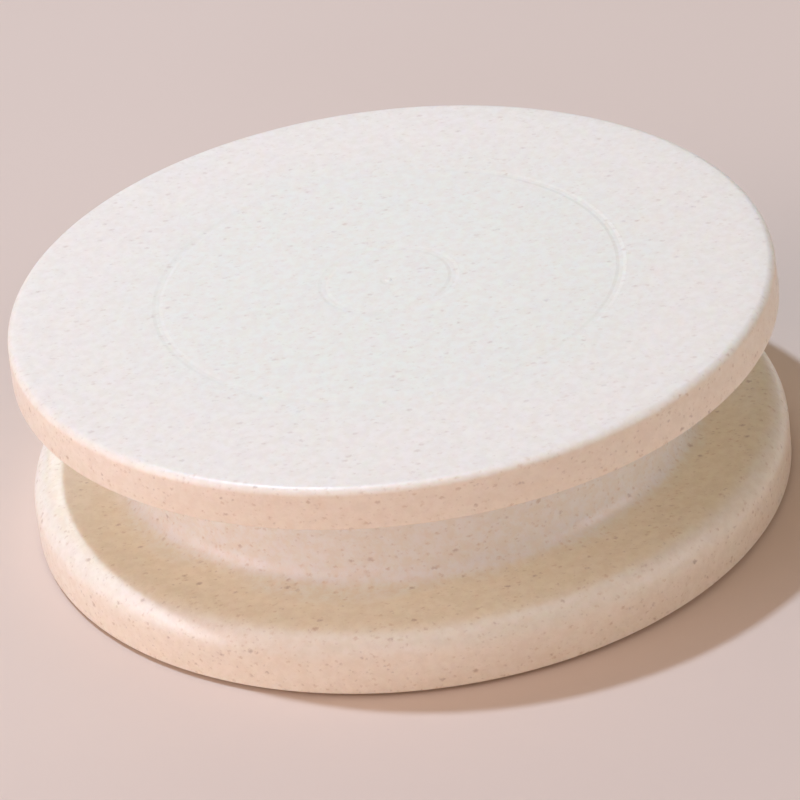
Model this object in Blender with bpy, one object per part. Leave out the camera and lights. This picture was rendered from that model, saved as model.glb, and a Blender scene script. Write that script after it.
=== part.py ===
"""Sculpting turntable: a plate on a ring of steel balls, on a low round base with a drum.

Metres, +Z up. The origin is on the turning axis, in the plane that the feet stand on.
Sizes below are in millimetres and are turned into metres where the meshes are made.
"""

import math

import bmesh
import bpy
from mathutils import Matrix, Vector

MM = 0.001
GAP = 0.3  # between two pieces that touch on the real object

# Overall heights
FOOT_PROUD = 1.0
BASE_BOTTOM = FOOT_PROUD
BASE_TOP = BASE_BOTTOM + 15.1
PLATE_TOP = BASE_BOTTOM + 53.4
PLATE_SKIRT_HEIGHT = 10.2
PLATE_BOTTOM = PLATE_TOP - PLATE_SKIRT_HEIGHT

# Plate
PLATE_RADIUS = 90.0
PLATE_LOWER_RADIUS = 90.5
PLATE_EDGE_FILLET = 2.0
PLATE_THICKNESS = 3.0
PLATE_UNDERSIDE = PLATE_TOP - PLATE_THICKNESS
SKIRT_WALL = 2.6
SMALL_RING = (14.0, 16.7)
BIG_RING = (53.3, 55.8)
RING_DEPTH = 0.15
BOSS_RADIUS = 9.5
PLATE_RIB_COUNT = 12
PLATE_RIB_WIDTH = 1.5
PLATE_RIB_DEPTH = 2.0

# Base
BASE_RADIUS = 90.8
BASE_LOWER_RADIUS = 90.9
BASE_SHOULDER = 7.8
BASE_WALL = 2.6
DRUM_RADIUS = 68.6
DRUM_TOP_RADIUS = 67.4
DRUM_FOOT_FILLET = 5.0
DRUM_TOP = 46.9
DECK_TOP = 41.3
HUB_RADIUS = 11.5
HUB_BOTTOM = 20.0
GUSSET_COUNT = 6
GUSSET_REACH = 24.0
GUSSET_WIDTH = 1.8
BASE_RIB_COUNT = 12
BASE_RIB_WIDTH = 1.6
BASE_RIB_DEPTH = 5.0

# Feet
FOOT_COUNT = 6
FOOT_CIRCLE = 79.0
FOOT_RADIUS = 6.0
FOOT_HEIGHT = 1.9
FOOT_STEM_RADIUS = 2.5
FOOT_STEM_TOP = 7.0
FOOT_BOSS_RADIUS = 6.6

# Ball bearing
BALL_COUNT = 12
BALL_RADIUS = 3.0
PITCH_RADIUS = 45.0
BALL_CENTRE = 46.0
RACE_INNER = 39.8
RACE_OUTER = 50.2
RACE_BOTTOM = DECK_TOP + GAP
RACE_HEIGHT = 1.9
RACE_ARC = 40.0
UPPER_RACE_TOP = 2 * BALL_CENTRE - RACE_BOTTOM
CAGE_INNER = 40.5
CAGE_OUTER = 49.5
CAGE_THICKNESS = 1.6
POCKET_RADIUS = BALL_RADIUS + 0.4

# Spindle and what holds it
SPINDLE_RADIUS = 5.0
SPINDLE_BOTTOM = 19.7
SPINDLE_TOP = PLATE_UNDERSIDE + 0.2
BUSH_RADIUS = 8.3
BUSH_BOTTOM = 21.0
BUSH_FLANGE_RADIUS = 11.0
BUSH_FLANGE = (DECK_TOP + GAP, DECK_TOP + GAP + 1.4)
THRUST_WASHER = (BUSH_FLANGE[1] + GAP, BUSH_FLANGE[1] + GAP + 1.0)
BOSS_BOTTOM = THRUST_WASHER[1] + GAP
RETAINING_WASHER = (18.2, 19.4)
RETAINING_WASHER_RADIUS = 10.0
SCREW_RADIUS = 2.0
SCREW_TOP = 28.0
SCREW_HEAD_RADIUS = 3.8
SCREW_HEAD = (15.4, RETAINING_WASHER[0] - GAP)

# Sides of the turned bodies
LARGE_SIDES = 48
SMALL_SIDES = 24
FOOT_SIDES = 16

# Colour, roughness, metallic
STRAW_PLASTIC = ("straw_plastic", (0.82, 0.70, 0.60), 0.42, 0.0)
BASE_PLASTIC = ("base_plastic", (0.80, 0.66, 0.54), 0.42, 0.0)
RACE_STEEL = ("race_steel", (0.62, 0.63, 0.64), 0.3, 1.0)
BALL_STEEL = ("ball_steel", (0.78, 0.78, 0.80), 0.12, 1.0)
CAGE_PLASTIC = ("cage_plastic", (0.86, 0.85, 0.80), 0.5, 0.0)
SPINDLE_STEEL = ("spindle_steel", (0.66, 0.66, 0.67), 0.25, 1.0)
BUSH_PLASTIC = ("bush_plastic", (0.88, 0.87, 0.83), 0.4, 0.0)
WASHER_STEEL = ("washer_steel", (0.70, 0.71, 0.72), 0.35, 1.0)
SCREW_STEEL = ("screw_steel", (0.72, 0.72, 0.70), 0.3, 1.0)
FOOT_RUBBER = ("foot_rubber", (0.50, 0.49, 0.47), 0.8, 0.0)


def look(finish):
    """The piece's own material, from its colour, roughness and metallic value."""
    name, colour, roughness, metallic = finish
    made = bpy.data.materials.get(name) or bpy.data.materials.new(name)
    made.use_nodes = True
    surface = made.node_tree.nodes["Principled BSDF"]
    surface.inputs["Base Color"].default_value = (*colour, 1.0)
    surface.inputs["Roughness"].default_value = roughness
    surface.inputs["Metallic"].default_value = metallic
    made.diffuse_color = (*colour, 1.0)
    return made


def arc(centre, radius, start, end, steps):
    """Points on an arc in the radius-height plane, angles in degrees from the outward direction."""
    points = []
    for i in range(steps + 1):
        angle = math.radians(start + (end - start) * i / steps)
        points.append((centre[0] + radius * math.cos(angle), centre[1] + radius * math.sin(angle)))
    return points


def circle(radius, sides, centre=(0, 0)):
    """A round plan outline."""
    points = []
    for i in range(sides):
        angle = 2 * math.pi * i / sides
        points.append((centre[0] + radius * math.cos(angle), centre[1] + radius * math.sin(angle)))
    return points


def turned_mesh(bm, outline, sides):
    """Turns a closed outline of (radius, height) points about the axis; a radius of 0 is a point on it."""
    rings = []
    for radius, height in outline:
        if radius == 0:
            rings.append([bm.verts.new((0, 0, height * MM))])
            continue
        plan = circle(radius, sides)
        rings.append([bm.verts.new((x * MM, y * MM, height * MM)) for x, y in plan])
    for ring, following in zip(rings, rings[1:] + rings[:1]):
        for i in range(sides):
            corners = [ring[i % len(ring)], ring[(i + 1) % len(ring)]]
            corners += [following[(i + 1) % len(following)], following[i % len(following)]]
            different = list(dict.fromkeys(corners))
            if len(different) > 2:
                bm.faces.new(different)


def prism_mesh(bm, outline, low, high):
    """An upright prism on a plan outline of (x, y) points, between two heights."""
    bottom = [bm.verts.new((x * MM, y * MM, low * MM)) for x, y in outline]
    top = [bm.verts.new((x * MM, y * MM, high * MM)) for x, y in outline]
    skin(bm, bottom, top)


def fin_mesh(bm, outline, width, turn):
    """An upright fin of a given width, with an outline of (radius, height) points, turned about the axis."""
    half = width / 2
    near = [bm.verts.new(turn @ (Vector((radius, -half, height)) * MM)) for radius, height in outline]
    far = [bm.verts.new(turn @ (Vector((radius, half, height)) * MM)) for radius, height in outline]
    skin(bm, near, far)


def skin(bm, first, second):
    """Closes two matching loops of points into one body."""
    bm.faces.new(first)
    bm.faces.new(second)
    count = len(first)
    for i in range(count):
        following = (i + 1) % count
        bm.faces.new((first[i], first[following], second[following], second[i]))


def around(count, first=0.0):
    """The turns that space count copies evenly round the axis, the first at an angle in degrees."""
    return [Matrix.Rotation(math.radians(first + 360 * i / count), 4, "Z") for i in range(count)]


def add_object(name, bm, finish=None):
    """Closes a bmesh into a named object with outward faces and smooth round sides."""
    bmesh.ops.recalc_face_normals(bm, faces=bm.faces)
    if bm.calc_volume(signed=True) < 0:
        bmesh.ops.reverse_faces(bm, faces=bm.faces)
    mesh = bpy.data.meshes.new(name)
    bm.to_mesh(mesh)
    bm.free()
    mesh.shade_smooth()
    mesh.set_sharp_from_angle(angle=math.radians(35))
    made = bpy.data.objects.new(name, mesh)
    bpy.context.scene.collection.objects.link(made)
    if finish:
        mesh.materials.append(look(finish))
    return made


def turned(name, outline, sides, finish):
    """A turned body as an object of its own."""
    bm = bmesh.new()
    turned_mesh(bm, outline, sides)
    return add_object(name, bm, finish)


def combine(made, name, bm, operation):
    """Adds to or cuts from an object with a guide body that isn't part of the model."""
    guide = add_object(name, bm)
    guide.hide_render = True
    guide.display_type = "WIRE"
    step = made.modifiers.new(name, "BOOLEAN")
    step.operation = operation
    step.solver = "EXACT"
    step.object = guide


def groove(ring, height):
    """A shallow groove with sloping sides in an upward face, from the inside out."""
    inner, outer = ring
    floor = height - RING_DEPTH
    side = 0.6
    return [(inner, height), (inner + side, floor), (outer - side, floor), (outer, height)]


def plate_outline():
    """Top from the middle out, then down the skirt and back along the underside to the spindle's bore."""
    skirt_inner = PLATE_LOWER_RADIUS - SKIRT_WALL
    fillet_centre = (PLATE_RADIUS - PLATE_EDGE_FILLET, PLATE_TOP - PLATE_EDGE_FILLET)
    bore = SPINDLE_RADIUS + GAP
    seat = UPPER_RACE_TOP + GAP
    return [
        (0, PLATE_TOP),
        *groove(SMALL_RING, PLATE_TOP),
        *groove(BIG_RING, PLATE_TOP),
        *arc(fillet_centre, PLATE_EDGE_FILLET, 90, 0, 4),
        (PLATE_LOWER_RADIUS, PLATE_BOTTOM + 0.6),
        (PLATE_LOWER_RADIUS - 0.6, PLATE_BOTTOM),
        (skirt_inner + 0.4, PLATE_BOTTOM),
        (skirt_inner - 0.6, PLATE_UNDERSIDE - 1.5),
        (skirt_inner - 2.1, PLATE_UNDERSIDE),
        (RACE_OUTER + 1.0, PLATE_UNDERSIDE),
        (RACE_OUTER + 1.0, seat),
        (RACE_INNER - 1.0, seat),
        (RACE_INNER - 1.0, PLATE_UNDERSIDE),
        (BOSS_RADIUS + 1.0, PLATE_UNDERSIDE),
        (BOSS_RADIUS, PLATE_UNDERSIDE - 1.0),
        (BOSS_RADIUS, BOSS_BOTTOM),
        (bore, BOSS_BOTTOM),
        (bore, SPINDLE_TOP + GAP),
        (0, SPINDLE_TOP + GAP),
    ]


def plate_rib_outline(inner, outer):
    """A rib under the plate between two radii, let into the plate by 1 mm."""
    low = PLATE_UNDERSIDE - PLATE_RIB_DEPTH
    high = PLATE_UNDERSIDE + 1.0
    return [(inner, low), (outer, low), (outer, high), (inner, high)]


def make_plate():
    """The round top, with its skirt, boss, race seat and thin ribs underneath."""
    plate = turned("turntable_plate", plate_outline(), LARGE_SIDES, STRAW_PLASTIC)
    ribs = bmesh.new()
    outer_rib = plate_rib_outline(RACE_OUTER + 0.5, PLATE_LOWER_RADIUS - SKIRT_WALL + 1.0)
    for turn in around(PLATE_RIB_COUNT, 15):
        fin_mesh(ribs, outer_rib, PLATE_RIB_WIDTH, turn)
    inner_rib = plate_rib_outline(BOSS_RADIUS - 1.0, RACE_INNER - 0.5)
    for turn in around(PLATE_RIB_COUNT // 2, 30):
        fin_mesh(ribs, inner_rib, PLATE_RIB_WIDTH, turn)
    combine(plate, "plate_ribs", ribs, "UNION")


def base_outline():
    """Up the skirt, over the shoulder, up the drum, across the deck, down the hub and back underneath."""
    skirt_inner = BASE_LOWER_RADIUS - BASE_WALL
    shoulder_centre = (BASE_RADIUS - BASE_SHOULDER, BASE_TOP - BASE_SHOULDER)
    foot_centre = (DRUM_RADIUS + DRUM_FOOT_FILLET, BASE_TOP + DRUM_FOOT_FILLET)
    flange_low = BASE_TOP - BASE_WALL
    deck_low = DECK_TOP - BASE_WALL
    drum_inner = DRUM_RADIUS - BASE_WALL
    drum_top_inner = DRUM_TOP_RADIUS - BASE_WALL
    locate = 1.0
    return [
        (BASE_LOWER_RADIUS - 0.6, BASE_BOTTOM),
        (BASE_LOWER_RADIUS, BASE_BOTTOM + 0.6),
        *arc(shoulder_centre, BASE_SHOULDER, 0, 90, 6),
        *arc(foot_centre, DRUM_FOOT_FILLET, 270, 180, 4),
        (DRUM_TOP_RADIUS, DRUM_TOP - 0.8),
        (DRUM_TOP_RADIUS - 0.8, DRUM_TOP),
        (drum_top_inner + 0.6, DRUM_TOP),
        (drum_top_inner, DRUM_TOP - 0.6),
        (drum_top_inner - 0.2, DECK_TOP),
        (RACE_OUTER + GAP + locate, DECK_TOP),
        (RACE_OUTER + GAP + locate, DECK_TOP + locate),
        (RACE_OUTER + GAP, DECK_TOP + locate),
        (RACE_OUTER + GAP, DECK_TOP),
        (RACE_INNER - GAP, DECK_TOP),
        (RACE_INNER - GAP, DECK_TOP + locate),
        (RACE_INNER - GAP - locate, DECK_TOP + locate),
        (RACE_INNER - GAP - locate, DECK_TOP),
        (BUSH_RADIUS + GAP, DECK_TOP),
        (BUSH_RADIUS + GAP, HUB_BOTTOM),
        (HUB_RADIUS, HUB_BOTTOM),
        (HUB_RADIUS + 0.4, deck_low - 1.0),
        (HUB_RADIUS + 1.4, deck_low),
        (drum_top_inner - 2.0, deck_low),
        (drum_top_inner, deck_low - 2.0),
        (drum_inner, BASE_TOP + DRUM_FOOT_FILLET),
        *arc(foot_centre, DRUM_FOOT_FILLET + BASE_WALL, 190, 270, 3),
        (skirt_inner - 5.0, flange_low),
        (skirt_inner - 1.6, flange_low - 1.8),
        (skirt_inner, flange_low - 5.4),
        (skirt_inner + 0.4, BASE_BOTTOM),
    ]


def foot_centre(index):
    """Where a foot is on its circle, in millimetres."""
    angle = 2 * math.pi * index / FOOT_COUNT
    return (FOOT_CIRCLE * math.cos(angle), FOOT_CIRCLE * math.sin(angle))


def gusset_outline():
    """A three-cornered gusset between the hub and the deck's underside, as (radius, height) points."""
    inner = HUB_RADIUS - 1.5
    deck = DECK_TOP - BASE_WALL / 2
    foot = HUB_BOTTOM + 2.0
    return [(inner, foot), (HUB_RADIUS + 1.0, foot), (GUSSET_REACH, deck), (inner, deck)]


def base_rib_outline():
    """A rib under the flange, from the drum's foot to the skirt, inside the round of the shoulder."""
    flange_low = BASE_TOP - BASE_WALL
    low = flange_low - BASE_RIB_DEPTH
    inner = DRUM_RADIUS + 1.6
    outer = BASE_LOWER_RADIUS - BASE_WALL + 0.9
    return [
        (inner, low),
        (outer, low),
        (outer, low + 2.0),
        (BASE_RADIUS - BASE_SHOULDER + 1.0, flange_low + 0.9),
        (inner, flange_low + 0.9),
    ]


def make_base():
    """The base with its skirt, shoulder, drum, deck, hub, gussets, ribs and foot bosses."""
    base = turned("base_shell", base_outline(), LARGE_SIDES, BASE_PLASTIC)
    flange_low = BASE_TOP - BASE_WALL
    stiffeners = bmesh.new()
    for turn in around(GUSSET_COUNT, 30):
        fin_mesh(stiffeners, gusset_outline(), GUSSET_WIDTH, turn)
    for turn in around(BASE_RIB_COUNT, 15):
        fin_mesh(stiffeners, base_rib_outline(), BASE_RIB_WIDTH, turn)
    for i in range(FOOT_COUNT):
        plan = circle(FOOT_BOSS_RADIUS, FOOT_SIDES, foot_centre(i))
        prism_mesh(stiffeners, plan, FOOT_HEIGHT + GAP, flange_low + 1.0)
    combine(base, "base_stiffeners", stiffeners, "UNION")
    holes = bmesh.new()
    for i in range(FOOT_COUNT):
        plan = circle(FOOT_STEM_RADIUS + GAP, FOOT_SIDES, foot_centre(i))
        prism_mesh(holes, plan, 0, FOOT_STEM_TOP + GAP)
    combine(base, "foot_holes", holes, "DIFFERENCE")


def race_outline(lower):
    """A flat ring with a round groove that the balls run in; the upper race is its mirror image."""
    groove_radius = BALL_RADIUS + GAP
    centre = (PITCH_RADIUS, BALL_CENTRE)
    points = [
        (RACE_INNER, RACE_BOTTOM),
        (RACE_OUTER, RACE_BOTTOM),
        (RACE_OUTER, RACE_BOTTOM + RACE_HEIGHT),
        *arc(centre, groove_radius, 270 + RACE_ARC, 270 - RACE_ARC, 4),
        (RACE_INNER, RACE_BOTTOM + RACE_HEIGHT),
    ]
    if lower:
        return points
    return [(radius, 2 * BALL_CENTRE - height) for radius, height in reversed(points)]


def make_bearing():
    """Two races, a cage with round pockets, and the balls, each with its origin at its centre."""
    turned("lower_race", race_outline(True), LARGE_SIDES, RACE_STEEL)
    turned("upper_race", race_outline(False), LARGE_SIDES, RACE_STEEL)
    low = BALL_CENTRE - CAGE_THICKNESS / 2
    high = BALL_CENTRE + CAGE_THICKNESS / 2
    outline = [(CAGE_INNER, low), (CAGE_OUTER, low), (CAGE_OUTER, high), (CAGE_INNER, high)]
    cage = turned("ball_cage", outline, LARGE_SIDES, CAGE_PLASTIC)
    pockets = bmesh.new()
    for i in range(BALL_COUNT):
        angle = 2 * math.pi * i / BALL_COUNT
        centre = (PITCH_RADIUS * math.cos(angle), PITCH_RADIUS * math.sin(angle))
        prism_mesh(pockets, circle(POCKET_RADIUS, 12, centre), low - 1.0, high + 1.0)
    combine(cage, "cage_pockets", pockets, "DIFFERENCE")
    for i in range(BALL_COUNT):
        angle = 2 * math.pi * i / BALL_COUNT
        bm = bmesh.new()
        bmesh.ops.create_uvsphere(bm, u_segments=12, v_segments=8, radius=BALL_RADIUS * MM)
        ball = add_object(f"ball_{i + 1:02d}", bm, BALL_STEEL)
        direction = Vector((math.cos(angle), math.sin(angle), 0))
        ball.location = direction * PITCH_RADIUS * MM + Vector((0, 0, BALL_CENTRE * MM))
        ball.rotation_euler = (0, math.radians(90), angle)


def make_spindle():
    """The pin that centres the plate, with a tapped hole in its lower end."""
    hole = SCREW_RADIUS + GAP
    outline = [
        (0, SPINDLE_TOP),
        (SPINDLE_RADIUS - 0.5, SPINDLE_TOP),
        (SPINDLE_RADIUS, SPINDLE_TOP - 0.5),
        (SPINDLE_RADIUS, SPINDLE_BOTTOM + 0.5),
        (SPINDLE_RADIUS - 0.5, SPINDLE_BOTTOM),
        (hole, SPINDLE_BOTTOM),
        (hole, SCREW_TOP + 2.0),
        (0, SCREW_TOP + 3.0),
    ]
    turned("spindle", outline, SMALL_SIDES, SPINDLE_STEEL)


def make_bush():
    """The flanged bush in the base's hub."""
    bore = SPINDLE_RADIUS + GAP
    low, high = BUSH_FLANGE
    outline = [
        (bore, BUSH_BOTTOM),
        (BUSH_RADIUS - 0.4, BUSH_BOTTOM),
        (BUSH_RADIUS, BUSH_BOTTOM + 0.4),
        (BUSH_RADIUS, low),
        (BUSH_FLANGE_RADIUS, low),
        (BUSH_FLANGE_RADIUS, high),
        (bore, high),
    ]
    turned("hub_bush", outline, SMALL_SIDES, BUSH_PLASTIC)


def make_washer(name, inner, outer, heights):
    """A flat washer."""
    low, high = heights
    outline = [(inner, low), (outer, low), (outer, high), (inner, high)]
    turned(name, outline, SMALL_SIDES, WASHER_STEEL)


def make_screw():
    """A pan-head screw, head down, with a cross recess."""
    low, high = SCREW_HEAD
    outline = [
        (0, SCREW_TOP),
        (SCREW_RADIUS - 0.5, SCREW_TOP),
        (SCREW_RADIUS, SCREW_TOP - 0.5),
        (SCREW_RADIUS, high),
        (SCREW_HEAD_RADIUS, high),
        (SCREW_HEAD_RADIUS, low + 1.0),
        (SCREW_HEAD_RADIUS - 1.0, low),
        (0, low),
    ]
    screw = turned("retaining_screw", outline, SMALL_SIDES, SCREW_STEEL)
    arm = 2.1
    half = 0.45
    quarter = [(arm, -half), (arm, half), (half, half)]
    cross = []
    for i in range(4):
        angle = math.radians(90 * i)
        for x, y in quarter:
            turned_x = x * math.cos(angle) - y * math.sin(angle)
            turned_y = x * math.sin(angle) + y * math.cos(angle)
            cross.append((turned_x, turned_y))
    recess = bmesh.new()
    prism_mesh(recess, cross, low - 1.0, low + 1.3)
    combine(screw, "screw_recess", recess, "DIFFERENCE")


def make_feet():
    """Rubber feet, each with a stem that goes up into its boss."""
    outline = [
        (0, FOOT_STEM_TOP),
        (FOOT_STEM_RADIUS, FOOT_STEM_TOP),
        (FOOT_STEM_RADIUS, FOOT_HEIGHT),
        (FOOT_RADIUS, FOOT_HEIGHT),
        (FOOT_RADIUS, 0.5),
        (FOOT_RADIUS - 0.5, 0),
        (0, 0),
    ]
    for i in range(FOOT_COUNT):
        foot = turned(f"foot_{i + 1}", outline, FOOT_SIDES, FOOT_RUBBER)
        x, y = foot_centre(i)
        foot.location = (x * MM, y * MM, 0)


def main():
    for old in list(bpy.data.objects):
        bpy.data.objects.remove(old)
    make_plate()
    make_base()
    make_bearing()
    make_spindle()
    make_bush()
    make_washer("thrust_washer", SPINDLE_RADIUS + GAP, BUSH_FLANGE_RADIUS - 0.5, THRUST_WASHER)
    make_washer("retaining_washer", SCREW_RADIUS + GAP, RETAINING_WASHER_RADIUS, RETAINING_WASHER)
    make_screw()
    make_feet()


main()
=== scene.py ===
"""Looks of the sculpting turntable: fine turned mouldings, bearing parts and procedural materials.

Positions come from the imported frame; lengths named here are in millimetres unless they say metres.
"""

import math
from typing import NamedTuple

import bmesh
import bpy
from mathutils import Matrix, Vector


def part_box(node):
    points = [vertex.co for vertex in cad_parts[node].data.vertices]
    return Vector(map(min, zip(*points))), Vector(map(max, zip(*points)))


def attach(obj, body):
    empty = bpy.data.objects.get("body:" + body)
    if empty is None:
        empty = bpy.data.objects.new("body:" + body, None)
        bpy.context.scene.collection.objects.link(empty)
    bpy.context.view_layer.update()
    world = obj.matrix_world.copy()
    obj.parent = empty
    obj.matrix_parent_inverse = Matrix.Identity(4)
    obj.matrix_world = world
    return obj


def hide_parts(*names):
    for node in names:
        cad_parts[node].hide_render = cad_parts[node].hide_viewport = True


MM = 0.001

# Gap between neighbours, wall of both mouldings, and how far their ribs and bosses reach into the wall
GAP = 0.3
WALL = 2.6
ROOT = 1.0

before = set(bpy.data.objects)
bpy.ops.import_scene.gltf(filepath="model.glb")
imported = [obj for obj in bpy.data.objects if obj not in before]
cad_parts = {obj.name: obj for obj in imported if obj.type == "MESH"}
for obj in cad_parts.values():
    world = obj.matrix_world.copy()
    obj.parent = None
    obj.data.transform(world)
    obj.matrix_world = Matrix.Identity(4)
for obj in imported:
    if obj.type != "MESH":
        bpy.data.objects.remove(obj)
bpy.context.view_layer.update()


def heights(node):
    """Lowest and highest point of a CAD node, in millimetres."""
    low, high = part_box(node)
    return low.z / MM, high.z / MM


def outer_radius(node):
    """Half the width of a CAD node that is turned about the axis, in millimetres."""
    low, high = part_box(node)
    return (high.x - low.x) / 2 / MM


def middle(node):
    """Centre of a CAD node's box, in metres."""
    low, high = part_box(node)
    return (low + high) / 2


PLATE_BOTTOM, PLATE_TOP = heights("turntable_plate")
BASE_BOTTOM, DRUM_TOP = heights("base_shell")
PLATE_LOWER_RADIUS = outer_radius("turntable_plate")
BASE_LOWER_RADIUS = outer_radius("base_shell")
BALL_CENTRE = middle("ball_01").z / MM
PITCH_RADIUS = middle("ball_01").x / MM

# Plate
PLATE_RADIUS = PLATE_LOWER_RADIUS - 0.5
PLATE_UNDERSIDE = PLATE_TOP - 3.0
EDGE_FILLET = 2.0
SMALL_RING = (14.0, 16.7)
BIG_RING = (53.3, 55.8)
RING_DEPTH = 0.09
RING_SIDE = 0.8
EDGE_STEP_RADIUS = 84.8
EDGE_STEP = 0.03
GATE_PIP = 0.10
GATE_DISH = 0.08
BOSS_RADIUS = 9.5
OUTER_PLATE_RIBS = 12
INNER_PLATE_RIBS = 6
PLATE_RIB_DEPTH = 2.0
PLATE_RIB_WIDTH = 1.5

# Base
BASE_RADIUS = BASE_LOWER_RADIUS - 0.1
BASE_TOP = BASE_BOTTOM + 15.1
BASE_SHOULDER = 7.8
DRUM_RADIUS = 68.6
DRUM_TOP_RADIUS = 67.4
DRUM_FOOT_FILLET = 5.0
DECK_TOP = 41.3
HUB_RADIUS = 11.5
HUB_BOTTOM = 20.0
GUSSETS = 6
GUSSET_WIDTH = 1.8
GUSSET_REACH = 24.0
BASE_RIBS = 12
BASE_RIB_DEPTH = 5.0
BASE_RIB_WIDTH = 1.6
RIB_LET_IN = 0.9

# Feet, and the bosses and holes they are pushed into
FEET = 6
FOOT_BOSS_RADIUS = 6.6
FOOT_BOSS_BOTTOM = 2.2
FOOT_HOLE_RADIUS = 2.8
FOOT_HOLE_TOP = 7.3
FOOT_PAD = 1.9
FOOT_BARB_RADIUS = 2.5
FOOT_DIMPLE_RADIUS = 2.2
FOOT_DIMPLE_DEPTH = 0.3

# Race seats
SEAT_MARGIN = 1.0
RACE_LIP = 1.0

# Bearing and spindle
BALLS = 12
BALL_RADIUS = 3.0
RACE_HALF_WIDTH = 5.2
POCKET_RADIUS = BALL_RADIUS + 0.4
SPINDLE_RADIUS = 5.0
SPINDLE_CHAMFER = 0.6
BUSH_RADIUS = 8.3

# Screw, its hole up the spindle, and the cross recess in its head, with the share of its mouth in x and y
# that it narrows to
SCREW_RADIUS = 2.0
SCREW_CHAMFER = 0.6
SCREW_HOLE_RADIUS = 2.3
SCREW_HOLE_TOP = 30.0
SCREW_HOLE_CHAMFER = 0.4
RECESS_REACH = 2.0
RECESS_WIDTH = 0.9
RECESS_DEPTH = 1.4
RECESS_TAPER = (0.72, 0.8)

# Facets round each kind of piece, hole and pocket
FINE_SIDES = 288
CAGE_SIDES = 192
RACE_SIDES = 144
SMALL_SIDES = 96
FOOT_SIDES = 64
BALL_SIDES = 48
FOOT_HOLE_SIDES = 48
POCKET_SIDES = 40

# Angle in degrees past which an edge is sharp
SHARP_ANGLE = 32

# Points closer than this, in metres, become one after a cut or a union
MERGE_DISTANCE = 1e-6


# ---------------------------------------------------------------- mesh tools


def rounded(corners, steps=6):
    """A closed outline of (radius, height, rounding) corners, with each corner turned into an arc."""
    points = []
    for i, (x, y, size) in enumerate(corners):
        here = Vector((x, y))
        if size == 0:
            points.append((x, y))
            continue
        before = Vector(corners[i - 1][:2]) - here
        after = Vector(corners[(i + 1) % len(corners)][:2]) - here
        half = before.angle(after) / 2
        reach = min(size / math.tan(half), 0.49 * before.length, 0.49 * after.length)
        radius = reach * math.tan(half)
        bisector = (before.normalized() + after.normalized()).normalized()
        centre = here + bisector * (radius / math.sin(half))
        start = here + before.normalized() * reach - centre
        end = here + after.normalized() * reach - centre
        first = math.atan2(start.y, start.x)
        sweep = math.atan2(end.y, end.x) - first
        sweep = (sweep + math.pi) % (2 * math.pi) - math.pi
        for k in range(steps + 1):
            angle = first + sweep * k / steps
            points.append((centre.x + radius * math.cos(angle), centre.y + radius * math.sin(angle)))
    return points


def circle(radius, sides, centre=(0, 0)):
    """A round plan outline."""
    turn = 2 * math.pi / sides
    return [
        (centre[0] + radius * math.cos(turn * i), centre[1] + radius * math.sin(turn * i))
        for i in range(sides)
    ]


def turn_outline(bm, outline, sides):
    """Turns a closed outline about the axis; a radius of 0 is a point on it."""
    rings = []
    for radius, height in outline:
        plan = [(0, 0)] if radius == 0 else circle(radius, sides)
        rings.append([bm.verts.new((x * MM, y * MM, height * MM)) for x, y in plan])
    for ring, following in zip(rings, rings[1:] + rings[:1]):
        for i in range(sides):
            corners = [ring[i % len(ring)], ring[(i + 1) % len(ring)]]
            corners += [following[(i + 1) % len(following)], following[i % len(following)]]
            different = list(dict.fromkeys(corners))
            if len(different) > 2:
                bm.faces.new(different)


def skin(bm, first, second):
    """Closes two matching loops of points into one body."""
    bm.faces.new(first)
    bm.faces.new(second)
    for i in range(len(first)):
        following = (i + 1) % len(first)
        bm.faces.new((first[i], first[following], second[following], second[i]))


def prism(bm, plan, low, high):
    """An upright prism on a plan outline, between two heights."""
    bottom = [bm.verts.new((x * MM, y * MM, low * MM)) for x, y in plan]
    top = [bm.verts.new((x * MM, y * MM, high * MM)) for x, y in plan]
    skin(bm, bottom, top)


def fins(bm, outline, width, count):
    """Upright fins with an outline of (radius, height) points, evenly spaced, the first half a step on."""
    for i in range(count):
        turn = Matrix.Rotation(math.radians(360 * (i + 0.5) / count), 4, "Z")
        sides = []
        for y in (-width / 2, width / 2):
            sides.append([bm.verts.new(turn @ (Vector((r, y, z)) * MM)) for r, z in outline])
        skin(bm, *sides)


def smooth(mesh):
    """Smooth shading, broken at sharp edges."""
    mesh.shade_smooth()
    mesh.set_sharp_from_angle(angle=math.radians(SHARP_ANGLE))


def finished(name, bm, material=None):
    """Closes a bmesh into a named object, faces outward, round sides smooth."""
    bmesh.ops.recalc_face_normals(bm, faces=bm.faces)
    if bm.calc_volume(signed=True) < 0:
        bmesh.ops.reverse_faces(bm, faces=bm.faces)
    mesh = bpy.data.meshes.new(name)
    bm.to_mesh(mesh)
    bm.free()
    smooth(mesh)
    made = bpy.data.objects.new(name, mesh)
    bpy.context.scene.collection.objects.link(made)
    if material:
        mesh.materials.append(material)
    return made


def turned(name, outline, sides, material):
    """A turned piece as an object of its own."""
    bm = bmesh.new()
    turn_outline(bm, outline, sides)
    return finished(name, bm, material)


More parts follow.
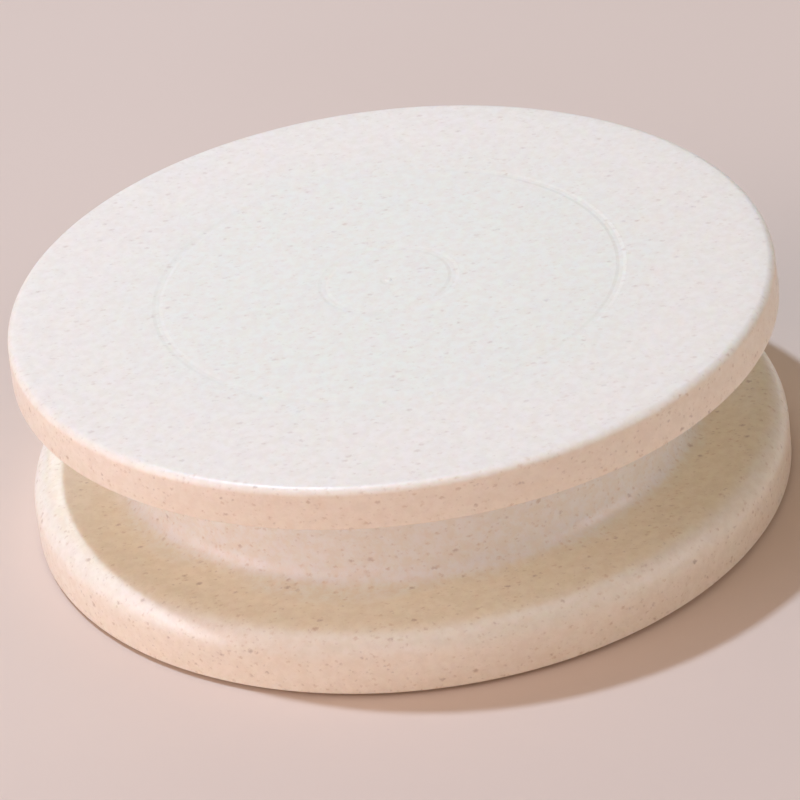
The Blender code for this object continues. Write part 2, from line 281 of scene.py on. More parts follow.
def combine(piece, bm, operation):
    """Joins a guide body to a piece, or cuts it away, and applies the result."""
    guide = finished("guide", bm)
    step = piece.modifiers.new("guide", "BOOLEAN")
    step.operation = operation
    step.solver = "EXACT"
    step.object = guide
    evaluated = piece.evaluated_get(bpy.context.evaluated_depsgraph_get())
    mesh = bpy.data.meshes.new_from_object(evaluated)
    piece.modifiers.clear()
    old = piece.data
    piece.data = mesh
    bpy.data.meshes.remove(old)
    bpy.data.objects.remove(guide)
    merged = bmesh.new()
    merged.from_mesh(mesh)
    bmesh.ops.remove_doubles(merged, verts=merged.verts, dist=MERGE_DISTANCE)
    bmesh.ops.dissolve_degenerate(merged, edges=merged.edges, dist=MERGE_DISTANCE)
    merged.to_mesh(mesh)
    merged.free()
    mesh.name = piece.name
    smooth(mesh)


def place(piece, body, slot, *nodes):
    """Rides a piece on its body in place of CAD nodes. The slot argument is not used."""
    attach(piece, body)
    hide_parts(*nodes)


# ---------------------------------------------------------------- materials


class Shader:
    """A node material under construction: nodes are added and joined by name."""

    def __init__(self, name):
        self.material = bpy.data.materials.new(name)
        self.material.use_nodes = True
        self.tree = self.material.node_tree
        self.surface = self.tree.nodes["Principled BSDF"]

    def node(self, kind, inputs=(), **settings):
        """Adds a node; an input is a value or another node's output socket."""
        made = self.tree.nodes.new(kind)
        for key, value in settings.items():
            setattr(made, key, value)
        for key, value in dict(inputs).items():
            self.put(made.inputs[key], value)
        return made

    def put(self, socket, value):
        """Sets an input to a value, or joins it to an output."""
        if isinstance(value, bpy.types.NodeSocket):
            self.tree.links.new(value, socket)
        else:
            socket.default_value = value

    def math(self, operation, first, second):
        """A sum, product or other operation on two numbers."""
        made = self.node("ShaderNodeMath", {0: first, 1: second}, operation=operation)
        return made.outputs[0]

    def remap(self, value, low, high, to_low=0.0, to_high=1.0):
        """Goes smoothly from to_low to to_high as the value goes from low to high."""
        made = self.node(
            "ShaderNodeMapRange",
            {"Value": value, "From Min": low, "From Max": high, "To Min": to_low, "To Max": to_high},
            interpolation_type="SMOOTHSTEP",
        )
        return made.outputs[0]

    def mix(self, factor, first, second, blend="MIX"):
        """Mixes two colours."""
        made = self.node("ShaderNodeMix", data_type="RGBA", blend_type=blend)
        self.put(made.inputs[0], factor)
        self.put(made.inputs[6], first)
        self.put(made.inputs[7], second)
        return made.outputs[2]

    def millimetres(self):
        """The piece's own coordinates in millimetres."""
        place = self.node("ShaderNodeTexCoord").outputs["Object"]
        made = self.node("ShaderNodeMapping", {"Vector": place, "Scale": [1 / MM] * 3})
        return made.outputs[0]

    def radius_and_height(self, vector):
        """The distance from the turning axis, and the height."""
        parts = self.node("ShaderNodeSeparateXYZ", {"Vector": vector}).outputs
        flat = self.node("ShaderNodeCombineXYZ", {"X": parts[0], "Y": parts[1]}).outputs[0]
        radius = self.node("ShaderNodeVectorMath", {0: flat}, operation="LENGTH").outputs["Value"]
        return radius, parts[2]

    def noise(self, vector, scale, detail=2.0, roughness=0.5):
        """Noise from 0 to 1; scale is in cycles to the millimetre."""
        made = self.node(
            "ShaderNodeTexNoise",
            {"Vector": vector, "Scale": scale, "Detail": detail, "Roughness": roughness},
        )
        return made.outputs["Fac"]

    def bump(self, height, strength, distance):
        """A bump of the given height in millimetres."""
        made = self.node(
            "ShaderNodeBump", {"Height": height, "Strength": strength, "Distance": distance * MM}
        )
        return made.outputs[0]


def specks(shader, vector, cell, radii, share, turn, stretch, edge):
    """Straw flakes of a range of radii in millimetres, at most one to a cell, in a share of the cells.

    They are stretched along x, and their cells are turned by degrees, so that the sizes don't line up.
    Gives their mask and a random value for each.
    """
    along = shader.node(
        "ShaderNodeMapping",
        {
            "Vector": vector,
            "Rotation": [math.radians(angle) for angle in turn],
            "Scale": (1 / stretch, 1.0, 1.0),
        },
    )
    cells = shader.node("ShaderNodeTexVoronoi", {"Vector": along.outputs[0], "Scale": 1 / cell})
    chance = shader.node("ShaderNodeSeparateColor", {"Color": cells.outputs["Color"]})
    size = shader.remap(chance.outputs[0], 0.0, 1.0, radii[0] / cell, radii[1] / cell)
    inside = shader.math("SUBTRACT", size, cells.outputs["Distance"])
    mask = shader.remap(inside, 0.0, edge / cell)
    present = shader.math("LESS_THAN", chance.outputs[1], share)
    return shader.math("MULTIPLY", mask, present), chance.outputs[2]


PLASTIC_PINK = (0.992, 0.927, 0.764, 1.0)
MOTTLE = (0.88, 0.80, 0.63, 1.0)
STRAW_DARK = (0.47, 0.37, 0.27, 1.0)
STRAW_BROWN = (0.56, 0.41, 0.25, 1.0)
STRAW_ORANGE = (0.70, 0.53, 0.32, 1.0)

# Cell and radii of the flakes in millimetres, share of cells that hold one, turn of the cells in degrees,
# how much longer a flake is along x, soft edge in millimetres, strength, two colours
FLAKES = (
    (2.6, (0.36, 0.78), 0.50, (0, 0, 25), 1.4, 0.58, 0.52, STRAW_DARK, STRAW_BROWN),
    (1.4, (0.30, 0.60), 0.50, (20, 0, -50), 1.6, 0.52, 0.42, STRAW_BROWN, STRAW_ORANGE),
    (0.95, (0.24, 0.46), 0.50, (0, 30, 80), 1.4, 0.44, 0.34, STRAW_DARK, STRAW_ORANGE),
)

# How far the outlines of the flakes wander, in millimetres
RAGGED = 0.9

# How cloudy upright faces are
SIDE_MOTTLE = 0.50

# The outer rims begin over a span of radii in millimetres; their tint and stronger straw are painted light,
# a warm glow of bounced light on the outer sides
RIM_SPAN = (76.0, 84.0)
RIM_WARM_LIGHT_TINT = (0.985, 0.940, 0.915, 1.0)
RIM_CONTRAST = 0.30


class Finish(NamedTuple):
    """How one moulding differs from the other.

    grey is its colour near the gate, and grey_span the radii in millimetres over which it turns pinkish; on
    the base this blend is painted light, a whiter drum against a pinker flange.
    The upward faces have their own mottle, straw contrast and tint; the straw contrast and tint are painted
    light:
    weaker straw under the sheen on the plate's top, stronger straw and a warm tint in the shade on the
    base's flange.
    """

    grey: tuple
    grey_span: tuple
    top_mottle: float
    top_contrast: float
    top_shade_tint: tuple
    roughness: float


PLATE_FINISH = Finish(
    grey=(0.942, 0.935, 0.762, 1.0),
    grey_span=(45.0, 75.0),
    top_mottle=0.42,
    # Painted sheen: weaker straw on the top, where light washes over it
    top_contrast=0.60,
    top_shade_tint=(1.0, 1.0, 1.0, 1.0),
    roughness=0.42,
)
BASE_FINISH = Finish(
    # Painted light: the grey inside these radii makes the drum whiter than the flange
    grey=(0.955, 0.950, 0.860, 1.0),
    grey_span=(71.5, 77.0),
    top_mottle=0.62,
    # Painted shade: stronger straw on the flange in the plate's shade
    top_contrast=1.12,
    # Painted shade: a warm yellow tint on upward faces for the shaded flange
    top_shade_tint=(1.0, 0.98, 0.91, 1.0),
    roughness=0.31,
)


def straw_plastic(name, finish):
    """Warm white, slightly translucent plastic with soft straw flakes of several sizes.

    On the plate it turns from greyish to pinkish outward, as the melt flowed out from the gate in the
    middle; on the base that blend is painted light, a whiter drum against a pinker flange. Its outer sides
    are painted warmer, standing in for warm bounced light, and its upward faces carry painted shade and
    sheen.
    """
    shader = Shader(name)
    base = shader.millimetres()
    radius, _ = shader.radius_and_height(base)
    normal = shader.node("ShaderNodeTexCoord").outputs["Normal"]
    upward = shader.node("ShaderNodeSeparateXYZ", {"Vector": normal}).outputs[2]
    level = shader.remap(upward, 0.75, 0.99)
    upright = shader.remap(upward, 0.1, 0.55, 1.0, 0.0)
    rim = shader.math("MULTIPLY", upright, shader.remap(radius, *RIM_SPAN))

    drift = shader.remap(shader.noise(base, 0.03, 1.0), 0.35, 0.65, -3.0, 3.0)
    gate_tone_and_drum_light = shader.remap(shader.math("ADD", radius, drift), *finish.grey_span)
    # Painted light on the base: its grey towards the middle makes the drum whiter than the flange
    colour = shader.mix(gate_tone_and_drum_light, finish.grey, PLASTIC_PINK)
    mottle = shader.remap(shader.noise(base, 0.42, 3.0, 0.72), 0.34, 0.66)
    cloudy = shader.remap(level, 0.0, 1.0, SIDE_MOTTLE, finish.top_mottle)
    colour = shader.mix(shader.math("MULTIPLY", mottle, cloudy), colour, MOTTLE)
    # Painted warm bounced light on the outer upright sides
    colour = shader.mix(rim, colour, RIM_WARM_LIGHT_TINT, "MULTIPLY")
    # Painted shade: the base's upward faces get a warm tint
    colour = shader.mix(level, colour, finish.top_shade_tint, "MULTIPLY")

    ragged = shader.node("ShaderNodeTexNoise", {"Vector": base, "Scale": 1.6, "Detail": 1.0})
    offset = shader.node(
        "ShaderNodeVectorMath", {0: ragged.outputs["Color"], 1: (0.5, 0.5, 0.5)}, operation="SUBTRACT"
    )
    offset = shader.node("ShaderNodeVectorMath", {0: offset.outputs[0], "Scale": RAGGED}, operation="SCALE")
    wavy = shader.node("ShaderNodeVectorMath", {0: base, 1: offset.outputs[0]}, operation="ADD").outputs[0]
    # Painted sheen and shade: the straw is weaker or stronger on upward faces, and stronger on the outer
    # sides
    contrast = shader.remap(level, 0.0, 1.0, 1.0, finish.top_contrast)
    strength = shader.math("ADD", contrast, shader.math("MULTIPLY", rim, RIM_CONTRAST))
    for cell, radii, share, turn, stretch, edge, depth, first, second in FLAKES:
        mask, pick = specks(shader, wavy, cell, radii, share, turn, stretch, edge)
        straw = shader.mix(pick, first, second)
        amount = shader.math("MULTIPLY", shader.math("MULTIPLY", mask, depth), strength)
        colour = shader.mix(amount, colour, straw)

    shine = shader.remap(mottle, 0.0, 1.0, finish.roughness, finish.roughness + 0.06)
    surface = shader.surface.inputs
    shader.put(surface["Base Color"], colour)
    shader.put(surface["Roughness"], shine)
    shader.put(surface["Normal"], shader.bump(shader.noise(base, 0.9, 2.0, 0.6), 0.15, 0.006))
    shader.put(surface["IOR"], 1.52)
    shader.put(surface["Coat Weight"], 0.32)
    shader.put(surface["Coat Roughness"], finish.roughness - 0.06)
    shader.put(surface["Subsurface Weight"], 0.35)
    shader.put(surface["Subsurface Radius"], (1.0, 0.62, 0.40))
    shader.put(surface["Subsurface Scale"], 2.2 * MM)
    return shader.material


# Colour and roughness
PLAIN_PLASTICS = {
    "cage_plastic": ((0.80, 0.78, 0.70, 1.0), 0.45),
    "bush_plastic": ((0.82, 0.81, 0.76, 1.0), 0.38),
}


def plain_plastic(name):
    """Natural moulded plastic with a faint flow pattern and fine grain."""
    colour, roughness = PLAIN_PLASTICS[name]
    shader = Shader(name)
    base = shader.millimetres()
    darker = tuple(0.9 * channel for channel in colour[:3]) + (1.0,)
    flow = shader.remap(shader.noise(base, 0.2, 3.0), 0.35, 0.65)
    surface = shader.surface.inputs
    shader.put(surface["Base Color"], shader.mix(flow, colour, darker))
    shader.put(surface["Roughness"], roughness)
    shader.put(surface["Normal"], shader.bump(shader.noise(base, 3.0, 3.0), 0.2, 0.03))
    shader.put(surface["Subsurface Weight"], 0.2)
    shader.put(surface["Subsurface Radius"], (1.0, 0.8, 0.6))
    shader.put(surface["Subsurface Scale"], 1.5 * MM)
    return shader.material


# Colour, roughness, and turning marks to the millimetre
STEELS = {
    "race_steel": ((0.60, 0.61, 0.62, 1.0), 0.26, 6.0),
    "spindle_steel": ((0.64, 0.64, 0.65, 1.0), 0.22, 9.0),
    "washer_steel": ((0.66, 0.67, 0.68, 1.0), 0.32, 4.0),
    "screw_steel": ((0.68, 0.68, 0.66, 1.0), 0.30, 7.0),
}
BALL_STEEL = (0.78, 0.78, 0.80, 1.0)
FOOT_RUBBER = (0.30, 0.29, 0.275, 1.0)
FOOT_DUST = (0.42, 0.40, 0.37, 1.0)


def turned_steel(name):
    """Steel with fine turning marks round the axis and a little cloudiness."""
    colour, roughness, ring_scale = STEELS[name]
    shader = Shader(name)
    base = shader.millimetres()
    radius, height = shader.radius_and_height(base)
    across = shader.node("ShaderNodeCombineXYZ", {"X": radius, "Y": height})
    marks = shader.noise(across.outputs[0], ring_scale, 4.0, 0.7)
    cloud = shader.remap(shader.noise(base, 0.35, 3.0), 0.3, 0.7)
    darker = tuple(0.8 * channel for channel in colour[:3]) + (1.0,)
    surface = shader.surface.inputs
    shader.put(surface["Base Color"], shader.mix(cloud, colour, darker))
    shader.put(surface["Metallic"], 1.0)
    shader.put(surface["Roughness"], shader.remap(marks, 0.3, 0.7, roughness * 0.8, roughness * 1.3))
    shader.put(surface["Normal"], shader.bump(marks, 0.25, 0.01))
    return shader.material


def polished_steel(name):
    """Polished ball steel with a faint haze."""
    shader = Shader(name)
    haze = shader.noise(shader.millimetres(), 1.5, 3.0)
    surface = shader.surface.inputs
    shader.put(surface["Base Color"], BALL_STEEL)
    shader.put(surface["Metallic"], 1.0)
    shader.put(surface["Roughness"], shader.remap(haze, 0.3, 0.7, 0.07, 0.15))
    return shader.material


def foot_rubber(name):
    """Matt grey rubber with dust in its grain."""
    shader = Shader(name)
    base = shader.millimetres()
    dust = shader.remap(shader.noise(base, 1.4, 4.0, 0.7), 0.45, 0.75)
    surface = shader.surface.inputs
    shader.put(surface["Base Color"], shader.mix(dust, FOOT_RUBBER, FOOT_DUST))
    shader.put(surface["Roughness"], shader.remap(dust, 0.0, 1.0, 0.62, 0.85))
    shader.put(surface["Normal"], shader.bump(shader.noise(base, 4.0, 3.0), 0.4, 0.05))
    return shader.material


# ---------------------------------------------------------------- pieces


def ring_groove(ring, height):
    """A shallow groove with soft sides in an upward face, from the inside out."""
    inner, outer = ring
    floor = height - RING_DEPTH
    return [
        (inner, height, 0.3),
        (inner + RING_SIDE, floor, 0.5),
        (outer - RING_SIDE, floor, 0.5),
        (outer, height, 0.3),
    ]


def make_plate(material):
    """The round top: work surface with its grooves, gate mark and edge, skirt, race seat and boss."""
    skirt_inner = PLATE_LOWER_RADIUS - WALL
    seat = heights("upper_race")[1] + GAP
    seat_outer = PITCH_RADIUS + RACE_HALF_WIDTH + SEAT_MARGIN
    seat_inner = PITCH_RADIUS - RACE_HALF_WIDTH - SEAT_MARGIN
    boss_bottom = heights("thrust_washer")[1] + GAP
    bore = SPINDLE_RADIUS + GAP
    bore_top = heights("spindle")[1] + GAP
    rim = PLATE_TOP - EDGE_STEP
    corners = [
        (0, PLATE_TOP + GATE_PIP, 0),
        (0.5, PLATE_TOP + GATE_PIP, 0.2),
        (0.8, PLATE_TOP - GATE_DISH, 0.1),
        (1.5, PLATE_TOP - GATE_DISH, 0.2),
        (2.1, PLATE_TOP, 0.3),
        *ring_groove(SMALL_RING, PLATE_TOP),
        *ring_groove(BIG_RING, PLATE_TOP),
        (EDGE_STEP_RADIUS - 0.4, PLATE_TOP, 0.4),
        (EDGE_STEP_RADIUS + 0.6, rim, 0.4),
        (PLATE_RADIUS, rim, EDGE_FILLET),
        (PLATE_LOWER_RADIUS, PLATE_BOTTOM, 0.55),
        (skirt_inner + 0.3, PLATE_BOTTOM, 0.4),
        (skirt_inner - 0.6, PLATE_UNDERSIDE, 2.0),
        (seat_outer, PLATE_UNDERSIDE, 0.3),
        (seat_outer, seat, 0.15),
        (seat_inner, seat, 0.15),
        (seat_inner, PLATE_UNDERSIDE, 0.3),
        (BOSS_RADIUS + 0.3, PLATE_UNDERSIDE, 1.2),
        (BOSS_RADIUS, boss_bottom, 0.4),
        (bore, boss_bottom, 0.2),
        (bore, bore_top, 0),
        (0, bore_top, 0),
    ]
    plate = turned("plate_moulding", rounded(corners, 7), FINE_SIDES, material)
    ribs = bmesh.new()
    low = PLATE_UNDERSIDE - PLATE_RIB_DEPTH
    high = PLATE_UNDERSIDE + ROOT
    spans = (
        (OUTER_PLATE_RIBS, seat_outer - 0.5, skirt_inner + 0.8),
        (INNER_PLATE_RIBS, BOSS_RADIUS - 1.0, seat_inner + 0.5),
    )
    for count, inner, outer in spans:
        outline = [(inner, low), (outer, low), (outer, high), (inner, high)]
        fins(ribs, outline, PLATE_RIB_WIDTH, count)
    combine(plate, ribs, "UNION")
    place(plate, "wheel", "plate_plastic", "turntable_plate")


def foot_places():
    """Centre of each foot in plan, in millimetres."""
    places = []
    for i in range(FEET):
        centre = middle(f"foot_{i + 1}") / MM
        places.append((centre.x, centre.y))
    return places


def base_corners():
    """The base's section: skirt, shoulder, flange, drum, deck with its race seat, hub, and underside."""
    skirt_inner = BASE_LOWER_RADIUS - WALL
    flange_low = BASE_TOP - WALL
    deck_low = DECK_TOP - WALL
    drum_top_inner = DRUM_TOP_RADIUS - WALL
    race_inner = PITCH_RADIUS - RACE_HALF_WIDTH - GAP
    race_outer = PITCH_RADIUS + RACE_HALF_WIDTH + GAP
    bore = BUSH_RADIUS + GAP
    return [
        (BASE_LOWER_RADIUS, BASE_BOTTOM, 0.55),
        (BASE_RADIUS, BASE_TOP, BASE_SHOULDER),
        (DRUM_RADIUS, BASE_TOP, DRUM_FOOT_FILLET),
        (DRUM_TOP_RADIUS, DRUM_TOP, 0.8),
        (drum_top_inner, DRUM_TOP, 0.6),
        (drum_top_inner - 0.2, DECK_TOP, 1.2),
        (race_outer + RACE_LIP, DECK_TOP, 0.3),
        (race_outer + RACE_LIP, DECK_TOP + RACE_LIP, 0.3),
        (race_outer, DECK_TOP + RACE_LIP, 0.2),
        (race_outer, DECK_TOP, 0),
        (race_inner, DECK_TOP, 0),
        (race_inner, DECK_TOP + RACE_LIP, 0.2),
        (race_inner - RACE_LIP, DECK_TOP + RACE_LIP, 0.3),
        (race_inner - RACE_LIP, DECK_TOP, 0.3),
        (bore, DECK_TOP, 0.2),
        (bore, HUB_BOTTOM, 0.3),
        (HUB_RADIUS, HUB_BOTTOM, 0.5),
        (HUB_RADIUS + 0.4, deck_low, 1.2),
        (drum_top_inner, deck_low, 2.4),
        (DRUM_RADIUS - WALL, flange_low, DRUM_FOOT_FILLET + WALL),
        (skirt_inner, flange_low, 5.2),
        (skirt_inner + 0.3, BASE_BOTTOM, 0.4),
    ]


def make_base(material):
    """The base moulding, stiffened underneath by gussets, ribs and foot bosses."""
    base = turned("base_moulding", rounded(base_corners(), 8), FINE_SIDES, material)
    flange_low = BASE_TOP - WALL
    rib_low = flange_low - BASE_RIB_DEPTH
    stiffeners = bmesh.new()
    deck = DECK_TOP - WALL / 2
    gusset = [
        (HUB_RADIUS - 1.5, HUB_BOTTOM + 2.0),
        (HUB_RADIUS + 1.0, HUB_BOTTOM + 2.0),
        (GUSSET_REACH, deck),
        (HUB_RADIUS - 1.5, deck),
    ]
    fins(stiffeners, gusset, GUSSET_WIDTH, GUSSETS)
    inner = DRUM_RADIUS + 1.6
    outer = BASE_LOWER_RADIUS - WALL + RIB_LET_IN
    rib = [
        (inner, rib_low),
        (outer, rib_low),
        (outer, rib_low + 2.0),
        (BASE_RADIUS - BASE_SHOULDER + 1.0, flange_low + RIB_LET_IN),
        (inner, flange_low + RIB_LET_IN),
    ]
    fins(stiffeners, rib, BASE_RIB_WIDTH, BASE_RIBS)
    for centre in foot_places():
        boss = circle(FOOT_BOSS_RADIUS, FOOT_SIDES, centre)
        prism(stiffeners, boss, FOOT_BOSS_BOTTOM, flange_low + ROOT)
    combine(base, stiffeners, "UNION")
    holes = bmesh.new()
    for centre in foot_places():
        prism(holes, circle(FOOT_HOLE_RADIUS, FOOT_HOLE_SIDES, centre), 0, FOOT_HOLE_TOP)
    combine(base, holes, "DIFFERENCE")
    place(base, "base", "base_plastic", "base_shell")


def make_races(material):
    """The two pressed races, each with a round groove and rolled edges."""
    groove_radius = BALL_RADIUS + GAP
    reach = math.radians(40)
    steps = 16
    for name, body, side in (("lower_race", "base", 1), ("upper_race", "wheel", -1)):
        low, high = heights(name)
        flat, lip = (low, high) if side > 0 else (high, low)
        groove = []
        for k in range(steps + 1):
            angle = reach * (1 - 2 * k / steps)
            height = BALL_CENTRE - side * groove_radius * math.cos(angle)
            groove.append((PITCH_RADIUS + groove_radius * math.sin(angle), height))
        inner = PITCH_RADIUS - RACE_HALF_WIDTH
        outer = PITCH_RADIUS + RACE_HALF_WIDTH
        corners = [(inner, lip, 0.3), (inner, flat, 0.5), (outer, flat, 0.5), (outer, lip, 0.3)]
        race = turned(name + "_ring", rounded(corners, 5) + groove, RACE_SIDES, material)
        place(race, body, "race_steel", name)


def make_cage(material):
    """The ring that spaces the balls, with a rounded pocket for each."""
    low, high = heights("ball_cage")
    outer = outer_radius("ball_cage")
    inner = 2 * PITCH_RADIUS - outer
    corners = [(outer, low, 0.35), (outer, high, 0.35), (inner, high, 0.35), (inner, low, 0.35)]
    cage = turned("ball_cage_ring", rounded(corners, 5), CAGE_SIDES, material)
    pockets = bmesh.new()
    for i in range(BALLS):
        centre = middle(f"ball_{i + 1:02d}") / MM
        prism(pockets, circle(POCKET_RADIUS, POCKET_SIDES, centre.xy), low - 1, high + 1)
    combine(cage, pockets, "DIFFERENCE")
    place(cage, "cage", "cage_plastic", "ball_cage")


def make_balls(material):
    """The steel balls, each turned about its own upright axis."""
    steps = BALL_SIDES // 2
    outline = []
    for k in range(steps + 1):
        angle = math.pi * k / steps
        radius = 0 if k in (0, steps) else BALL_RADIUS * math.sin(angle)
        outline.append((radius, BALL_RADIUS * math.cos(angle)))
    for i in range(BALLS):
        node = f"ball_{i + 1:02d}"
        ball = turned(f"steel_ball_{i + 1:02d}", outline, BALL_SIDES, material)
        ball.location = middle(node)
        place(ball, node, "ball_steel", node)


def make_spindle(material):
    """The ground pin with chamfered ends and a tapped hole from below."""
    low, high = heights("spindle")
    corners = [
        (0, high, 0),
        (SPINDLE_RADIUS - SPINDLE_CHAMFER, high, 0.15),
        (SPINDLE_RADIUS, high - SPINDLE_CHAMFER, 0.15),
        (SPINDLE_RADIUS, low + SPINDLE_CHAMFER, 0.15),
        (SPINDLE_RADIUS - SPINDLE_CHAMFER, low, 0.15),
        (SCREW_HOLE_RADIUS + SCREW_HOLE_CHAMFER, low, 0.1),
        (SCREW_HOLE_RADIUS, low + SCREW_HOLE_CHAMFER, 0.1),
        (SCREW_HOLE_RADIUS, SCREW_HOLE_TOP, 0),
        (0, SCREW_HOLE_TOP + 1.0, 0),
    ]
    spindle = turned("spindle_pin", rounded(corners, 4), SMALL_SIDES, material)
    place(spindle, "wheel", "spindle_steel", "spindle")


def make_bush(material):
    """The flanged bush in the hub."""
    low, high = heights("hub_bush")
    flange = outer_radius("hub_bush")
    flange_low = DECK_TOP + GAP
    bore = SPINDLE_RADIUS + GAP
    corners = [
        (bore, low, 0.25),
        (BUSH_RADIUS, low, 0.4),
        (BUSH_RADIUS, flange_low, 0),
        (flange, flange_low, 0.2),
        (flange, high, 0.3),
        (bore, high, 0.25),
    ]
    bush = turned("hub_bush_sleeve", rounded(corners, 5), SMALL_SIDES, material)
    place(bush, "base", "bush_plastic", "hub_bush")


def make_washers(material):
    """The two pressed washers, rounded on the punch side."""
    for name, hole in (("thrust_washer", SPINDLE_RADIUS + GAP), ("retaining_washer", SCREW_HOLE_RADIUS)):
        low, high = heights(name)
        outer = outer_radius(name)
        corners = [(hole, low, 0.3), (outer, low, 0.35), (outer, high, 0.08), (hole, high, 0.08)]
        washer = turned(name + "_disc", rounded(corners, 5), SMALL_SIDES, material)
        place(washer, "wheel", "washer_steel", name)


def make_screw(material):
    """The pan-head screw that holds the spindle down, with a cross recess in its head."""
    low, high = heights("retaining_screw")
    head = outer_radius("retaining_screw")
    head_high = heights("retaining_washer")[0] - GAP
    corners = [
        (0, high, 0),
        (SCREW_RADIUS - SCREW_CHAMFER, high, 0.1),
        (SCREW_RADIUS, high - SCREW_CHAMFER, 0.1),
        (SCREW_RADIUS, head_high, 0.1),
        (head, head_high, 0.15),
        (head, low, 1.3),
        (0, low, 0),
    ]
    screw = turned("retaining_screw_body", rounded(corners, 8), SMALL_SIDES, material)
    half = RECESS_WIDTH / 2
    plan = []
    for i in range(4):
        turn = Matrix.Rotation(math.radians(90 * i), 2)
        for corner in ((RECESS_REACH, -half), (RECESS_REACH, half), (half, half)):
            plan.append(tuple(turn @ Vector(corner)))
    taper_x, taper_y = RECESS_TAPER
    recess_top = low + RECESS_DEPTH
    recess = bmesh.new()
    mouth = [recess.verts.new((x * MM, y * MM, (low - 0.5) * MM)) for x, y in plan]
    floor = [recess.verts.new((x * taper_x * MM, y * taper_y * MM, recess_top * MM)) for x, y in plan]
    skin(recess, mouth, floor)
    combine(screw, recess, "DIFFERENCE")
    place(screw, "wheel", "screw_steel", "retaining_screw")


def make_feet(material):
    """Rubber feet with a rounded edge, a shallow dimple and a stem with a barb."""
    barb = FOOT_BARB_RADIUS
    stem = barb - 0.3
    for i, (x, y) in enumerate(foot_places()):
        node = f"foot_{i + 1}"
        low, high = heights(node)
        radius = outer_radius(node)
        pad_top = low + FOOT_PAD
        dimple_top = low + FOOT_DIMPLE_DEPTH
        corners = [
            (0, high, 0),
            (stem, high, 0.4),
            (barb, high - 1.2, 0.2),
            (stem, high - 1.5, 0.1),
            (stem, pad_top, 0.2),
            (radius, pad_top, 0.3),
            (radius, low, 0.7),
            (FOOT_DIMPLE_RADIUS + 0.4, low, 0.2),
            (FOOT_DIMPLE_RADIUS, dimple_top, 0.2),
            (0, dimple_top, 0),
        ]
        foot = turned(f"rubber_foot_{i + 1}", rounded(corners, 5), FOOT_SIDES, material)
        foot.location = (x * MM, y * MM, 0)
        place(foot, "base", "foot_rubber", node)


# ---------------------------------------------------------------- camera, light and floor

# Angles in degrees, distance in metres, lens in millimetres, and the point the lamps look at, in metres
CAMERA_ELEVATION = 29.115
CAMERA_ROLL = 7.402
CAMERA_PAN = 0.0625
CAMERA_TILT = -1.861
CAMERA_DISTANCE = 9.664 * PLATE_RADIUS * MM
CAMERA_LENS = 167.3
AIM = Vector((0, 0, 0.04))


def make_camera():
    """A long lens from the front, above the rim, rolled a little."""
    elevation = math.radians(CAMERA_ELEVATION)
    back = Vector((0, -math.cos(elevation), math.sin(elevation)))
    forward = -back
    right = Vector((1, 0, 0))
    up = right.cross(forward)
    pan = Matrix.Rotation(math.radians(CAMERA_PAN), 3, up)
    forward, right = pan @ forward, pan @ right
    tilt = Matrix.Rotation(math.radians(CAMERA_TILT), 3, right)
    forward, up = tilt @ forward, tilt @ up
    roll = Matrix.Rotation(math.radians(CAMERA_ROLL), 3, forward)
    right, up = roll @ right, roll @ up
    lens = bpy.data.cameras.new("camera")
    lens.sensor_width = 36
    lens.lens = CAMERA_LENS
    lens.clip_start = 0.05
    camera = bpy.data.objects.new("camera", lens)
    bpy.context.scene.collection.objects.link(camera)
    turn = Matrix((right, up, -forward)).transposed().to_4x4()
    place_at = Vector((0, 0, PLATE_TOP * MM)) + back * CAMERA_DISTANCE
    camera.matrix_world = Matrix.Translation(place_at) @ turn
    bpy.context.scene.camera = camera


def area_light(name, direction, distance, size, power, colour):
    """A round soft light that looks at the turntable from a direction, in metres and watts."""
    lamp = bpy.data.lights.new(name, "AREA")
    lamp.shape = "DISK"
    lamp.size = size
    lamp.energy = power
    lamp.color = colour
    light = bpy.data.objects.new(name, lamp)
    bpy.context.scene.collection.objects.link(light)
    away = Vector(direction).normalized()
    light.location = AIM + away * distance
    light.rotation_mode = "QUATERNION"
    light.rotation_quaternion = away.to_track_quat("Z", "Y")
    return light


KEY_COLOUR = (0.56, 0.70, 1.0)
SKY_COLOUR = (0.91, 0.90, 1.0)
WARM_COLOUR = (1.0, 0.74, 0.80)
FRONT_COLOUR = (1.0, 0.72, 0.87)
SIDE_COLOUR = (1.0, 0.79, 0.86)
RIGHT_COLOUR = (0.92, 0.79, 0.86)

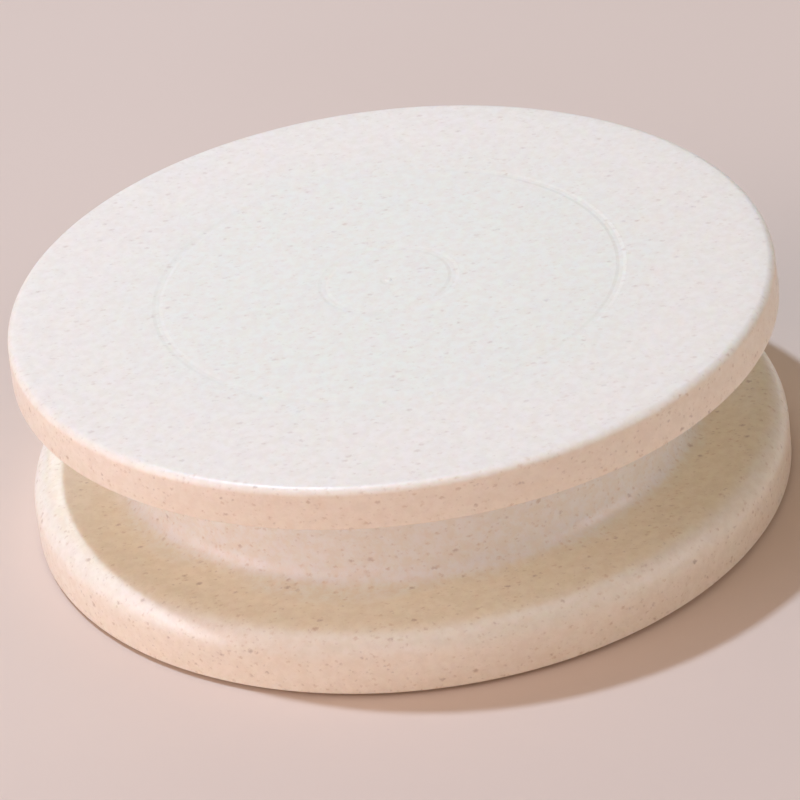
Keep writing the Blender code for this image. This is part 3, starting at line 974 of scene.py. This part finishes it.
# Name, direction of the lamp from the turntable, distance and width in metres, watts, colour
LIGHTS = (
    ("key", (-0.29, 0.16, 1.0), 3.6, 0.18, 80.0, KEY_COLOUR),
    ("left_fill", (-1.0, -0.35, 0.30), 2.3, 1.6, 11.9, SIDE_COLOUR),
    ("broad_left_fill", (-1.0, -0.30, 0.55), 2.8, 3.9, 20.3, WARM_COLOUR),
    ("high_left_fill", (-1.0, -0.50, 1.0), 2.8, 1.6, 6.3, SKY_COLOUR),
    ("front_fill", (-0.35, -1.0, 0.45), 2.8, 3.9, 5.8, WARM_COLOUR),
    ("low_front_fill", (-0.30, -1.0, 0.30), 2.3, 1.25, 4.0, FRONT_COLOUR),
    ("right_fill", (1.0, -0.35, 0.45), 2.3, 1.6, 10.6, RIGHT_COLOUR),
    ("back_fill", (-0.2, 1.0, 0.5), 2.3, 1.6, 7.3, SKY_COLOUR),
)
SHEEN_PANEL = ("sheen_panel", (0.0, -0.15, 1.0), 2.4, 3.8, 42.0, (0.78, 0.91, 1.0))
ROOM_COLOUR = (1.0, 0.81, 0.61, 1.0)
ROOM_STRENGTH = 0.178
FLOOR_RADIUS = 2500
FLOOR_THICKNESS = 10
FLOOR_COLOUR = (0.79, 0.65, 0.51, 1.0)
FLOOR_SHADE = (0.77, 0.63, 0.49, 1.0)


def make_light():
    """A steep key from the left, soft lights all round, a panel seen only as sheen, and a pale room."""
    for name, direction, distance, size, power, colour in LIGHTS:
        area_light(name, direction, distance, size, power, colour)
    panel = area_light(*SHEEN_PANEL)
    panel.visible_diffuse = False
    world = bpy.data.worlds.new("room")
    bpy.context.scene.world = world
    world.use_nodes = True
    room = world.node_tree.nodes["Background"]
    room.inputs["Color"].default_value = ROOM_COLOUR
    room.inputs["Strength"].default_value = ROOM_STRENGTH


def make_floor():
    """A plain pale floor."""
    bm = bmesh.new()
    prism(bm, circle(FLOOR_RADIUS, 96), -FLOOR_THICKNESS, 0)
    shader = Shader("floor_paint")
    cloud = shader.noise(shader.millimetres(), 0.004, 2.0)
    pale = shader.mix(shader.remap(cloud, 0.3, 0.7), FLOOR_COLOUR, FLOOR_SHADE)
    shader.put(shader.surface.inputs["Base Color"], pale)
    shader.put(shader.surface.inputs["Roughness"], 0.8)
    floor = finished("floor", bm, shader.material)


def main():
    make_camera()
    make_plate(straw_plastic("plate_plastic", PLATE_FINISH))
    make_base(straw_plastic("base_plastic", BASE_FINISH))
    make_races(turned_steel("race_steel"))
    make_cage(plain_plastic("cage_plastic"))
    make_balls(polished_steel("ball_steel"))
    make_spindle(turned_steel("spindle_steel"))
    make_bush(plain_plastic("bush_plastic"))
    make_washers(turned_steel("washer_steel"))
    make_screw(turned_steel("screw_steel"))
    make_feet(foot_rubber("foot_rubber"))
    make_light()
    make_floor()
    bpy.context.scene.view_settings.view_transform = "Standard"


main()
